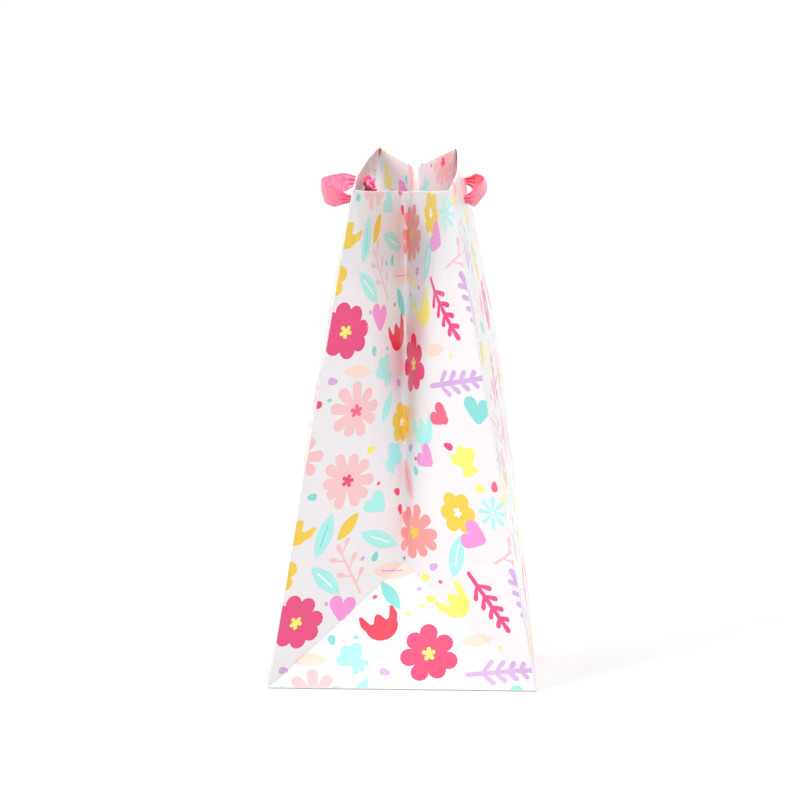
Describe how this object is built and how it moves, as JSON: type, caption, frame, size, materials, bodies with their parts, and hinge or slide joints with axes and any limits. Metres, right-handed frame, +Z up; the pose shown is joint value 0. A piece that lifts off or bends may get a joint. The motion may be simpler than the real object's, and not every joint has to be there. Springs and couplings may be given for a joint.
{
  "type": "gift bag",
  "caption": "Upright folding paper gift bag with V-folded gussets, a turned-in top hem, a flat stiffened base and short ribbon loop handles.",
  "frame": {"origin": "middle of the rectangle that the bag stands on, on the standing surface", "axes": "+Z up, +X along the broad panels, -Y out of the front panel"},
  "size_m": [0.2526, 0.1266, 0.2364],
  "materials": {
    "printed_paper": "gloss laminated, small scattered garden flowers on white",
    "greyboard": "uncoated",
    "satin_ribbon": "satin, coral pink"
  },
  "bodies": {
    "base": {"base_board": "greyboard", "front_bottom_flap": "printed_paper", "back_bottom_flap": "printed_paper", "left_bottom_flap": "printed_paper", "right_bottom_flap": "printed_paper"},
    "front_panel": {"front_panel": "printed_paper", "front_top_board": "greyboard", "front_top_hem": "printed_paper", "front_left_knot": "satin_ribbon", "front_right_knot": "satin_ribbon"},
    "back_panel": {"back_panel": "printed_paper", "back_top_board": "greyboard", "back_top_hem": "printed_paper", "back_left_knot": "satin_ribbon", "back_right_knot": "satin_ribbon", "side_seam_flap": "printed_paper"},
    "front_handle": {"front_ribbon_handle": "satin_ribbon"},
    "back_handle": {"back_ribbon_handle": "satin_ribbon"},
    "left_lower_gusset": {"left_lower_gusset": "printed_paper"},
    "left_front_gusset_outer": {"left_front_gusset_outer": "printed_paper", "left_front_hem_corner": "printed_paper"},
    "left_front_gusset_inner": {"left_front_gusset_inner": "printed_paper", "left_front_hem_strip": "printed_paper"},
    "left_back_gusset_outer": {"left_back_gusset_outer": "printed_paper", "left_back_hem_corner": "printed_paper"},
    "left_back_gusset_inner": {"left_back_gusset_inner": "printed_paper", "left_back_hem_strip": "printed_paper"},
    "right_lower_gusset": {"right_lower_gusset": "printed_paper"},
    "right_front_gusset_outer": {"right_front_gusset_outer": "printed_paper", "right_front_hem_corner": "printed_paper"},
    "right_front_gusset_inner": {"right_front_gusset_inner": "printed_paper", "right_front_hem_strip": "printed_paper"},
    "right_back_gusset_outer": {"right_back_gusset_outer": "printed_paper", "right_back_hem_corner": "printed_paper"},
    "right_back_gusset_inner": {"right_back_gusset_inner": "printed_paper", "right_back_hem_strip": "printed_paper"}
  },
  "joints": [
    {"name": "front_panel_lean", "type": "hinge", "parent": "base", "child": "front_panel", "pos_m": [0, -0.0635, 0], "axis": [-1, 0, 0], "range_deg": [-4, 3.4]},
    {"name": "back_panel_lean", "type": "hinge", "parent": "base", "child": "back_panel", "pos_m": [0, 0.0635, 0], "axis": [1, 0, 0], "range_deg": [-4, 3.4]},
    {"name": "left_lower_gusset_fold", "type": "hinge", "parent": "base", "child": "left_lower_gusset", "pos_m": [-0.127, 0, 0], "axis": [0, 1, 0], "range_deg": [-6.5, 5.5]},
    {"name": "left_front_corner_fold", "type": "hinge", "parent": "front_panel", "child": "left_front_gusset_outer", "pos_m": [-0.127, -0.0635, 0], "axis": [0, -0.1719, -0.9851], "range_deg": [-6.5, 5.5]},
    {"name": "left_front_diagonal_fold", "type": "hinge", "parent": "left_front_gusset_outer", "child": "left_front_gusset_inner", "pos_m": [-0.0926, 0, 0.05338], "axis": [0.1834, 0.1185, -0.9759], "range_deg": [-9.9, 8.5]},
    {"name": "left_back_corner_fold", "type": "hinge", "parent": "back_panel", "child": "left_back_gusset_outer", "pos_m": [-0.127, 0.0635, 0], "axis": [0, -0.1719, 0.9851], "range_deg": [-6.5, 5.5]},
    {"name": "left_back_diagonal_fold", "type": "hinge", "parent": "left_back_gusset_outer", "child": "left_back_gusset_inner", "pos_m": [-0.0926, 0, 0.05338], "axis": [-0.1834, 0.1185, 0.9759], "range_deg": [-9.9, 8.5]},
    {"name": "right_lower_gusset_fold", "type": "hinge", "parent": "base", "child": "right_lower_gusset", "pos_m": [0.127, 0, 0], "axis": [0, -1, 0], "range_deg": [-6.5, 5.5]},
    {"name": "right_front_corner_fold", "type": "hinge", "parent": "front_panel", "child": "right_front_gusset_outer", "pos_m": [0.127, -0.0635, 0], "axis": [0, 0.1719, 0.9851], "range_deg": [-6.5, 5.5]},
    {"name": "right_front_diagonal_fold", "type": "hinge", "parent": "right_front_gusset_outer", "child": "right_front_gusset_inner", "pos_m": [0.0926, 0, 0.05338], "axis": [0.1834, -0.1185, 0.9759], "range_deg": [-9.9, 8.5]},
    {"name": "right_back_corner_fold", "type": "hinge", "parent": "back_panel", "child": "right_back_gusset_outer", "pos_m": [0.127, 0.0635, 0], "axis": [0, 0.1719, -0.9851], "range_deg": [-6.5, 5.5]},
    {"name": "right_back_diagonal_fold", "type": "hinge", "parent": "right_back_gusset_outer", "child": "right_back_gusset_inner", "pos_m": [0.0926, 0, 0.05338], "axis": [-0.1834, -0.1185, -0.9759], "range_deg": [-9.9, 8.5]},
    {"name": "front_handle_swing", "type": "hinge", "parent": "front_panel", "child": "front_handle", "pos_m": [0, -0.02871, 0.22436], "axis": [-1, 0, 0], "range_deg": [-60, 80]},
    {"name": "back_handle_swing", "type": "hinge", "parent": "back_panel", "child": "back_handle", "pos_m": [0, 0.02871, 0.22436], "axis": [1, 0, 0], "range_deg": [-60, 80]}
  ],
  "couplings": [
    {"joint": "back_panel_lean", "follows": "front_panel_lean", "ratio": 1},
    {"joint": "left_lower_gusset_fold", "follows": "front_panel_lean", "ratio": 1.5753},
    {"joint": "left_front_corner_fold", "follows": "front_panel_lean", "ratio": 1.5753},
    {"joint": "left_front_diagonal_fold", "follows": "front_panel_lean", "ratio": 2.4436},
    {"joint": "left_back_corner_fold", "follows": "front_panel_lean", "ratio": 1.5753},
    {"joint": "left_back_diagonal_fold", "follows": "front_panel_lean", "ratio": 2.4436},
    {"joint": "right_lower_gusset_fold", "follows": "front_panel_lean", "ratio": 1.5753},
    {"joint": "right_front_corner_fold", "follows": "front_panel_lean", "ratio": 1.5753},
    {"joint": "right_front_diagonal_fold", "follows": "front_panel_lean", "ratio": 2.4436},
    {"joint": "right_back_corner_fold", "follows": "front_panel_lean", "ratio": 1.5753},
    {"joint": "right_back_diagonal_fold", "follows": "front_panel_lean", "ratio": 2.4436}
  ]
}
